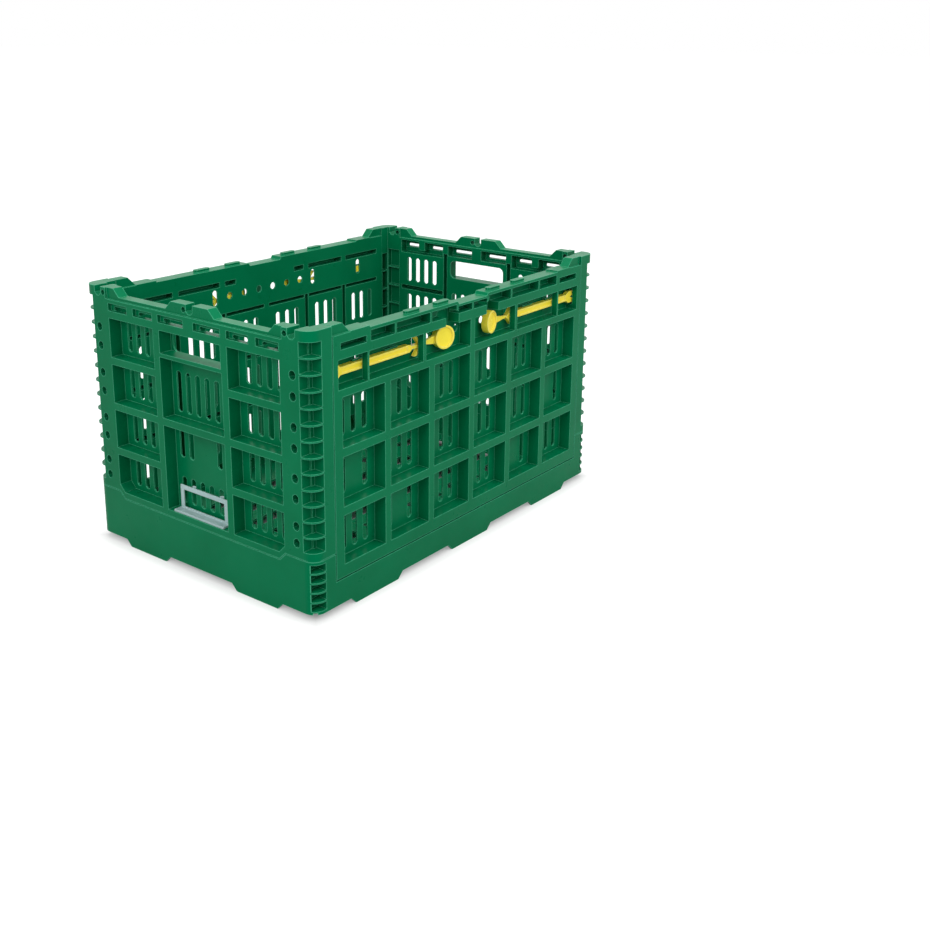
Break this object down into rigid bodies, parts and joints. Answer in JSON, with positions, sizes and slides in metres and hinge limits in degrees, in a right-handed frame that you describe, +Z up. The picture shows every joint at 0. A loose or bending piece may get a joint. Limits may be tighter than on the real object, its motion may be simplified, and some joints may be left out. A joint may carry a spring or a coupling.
{
  "type": "collapsible storage crate",
  "caption": "Rectangular folding storage crate with slotted lattice walls, hand holes in the ends, a stacking rim, sliding side latches and label holders, shown standing up.",
  "frame": {"origin": "centre of the footprint, on the plane the feet stand on", "axes": "+X along the length, +Y across the width towards the rear side panel, +Z up"},
  "size_m": [0.6, 0.4, 0.35],
  "materials": {
    "body": "satin",
    "latch": "satin",
    "holder": "translucent"
  },
  "bodies": {
    "frame": {"base_tray": "body", "end_panel_left": "body", "end_panel_right": "body", "label_holder_left": "holder", "label_holder_right": "holder"},
    "side_front": {"side_panel_front": "body"},
    "side_rear": {"side_panel_rear": "body"},
    "latch_fl": {"latch_front_left": "latch"},
    "latch_fr": {"latch_front_right": "latch"},
    "latch_rl": {"latch_rear_left": "latch"},
    "latch_rr": {"latch_rear_right": "latch"}
  },
  "joints": [
    {"name": "front_side_fold", "type": "hinge", "parent": "frame", "child": "side_front", "pos_m": [0, -0.186, 0.0205], "axis": [-1, 0, 0], "range_deg": [0, 90]},
    {"name": "rear_side_fold", "type": "hinge", "parent": "frame", "child": "side_rear", "pos_m": [0, 0.186, 0.041], "axis": [1, 0, 0], "range_deg": [0, 90]},
    {"name": "front_left_latch", "type": "slide", "parent": "side_front", "child": "latch_fl", "axis": [-1, 0, 0], "range_m": [0, 0.009]},
    {"name": "front_right_latch", "type": "slide", "parent": "side_front", "child": "latch_fr", "axis": [1, 0, 0], "range_m": [0, 0.009]},
    {"name": "rear_left_latch", "type": "slide", "parent": "side_rear", "child": "latch_rl", "axis": [-1, 0, 0], "range_m": [0, 0.009]},
    {"name": "rear_right_latch", "type": "slide", "parent": "side_rear", "child": "latch_rr", "axis": [1, 0, 0], "range_m": [0, 0.009]}
  ]
}
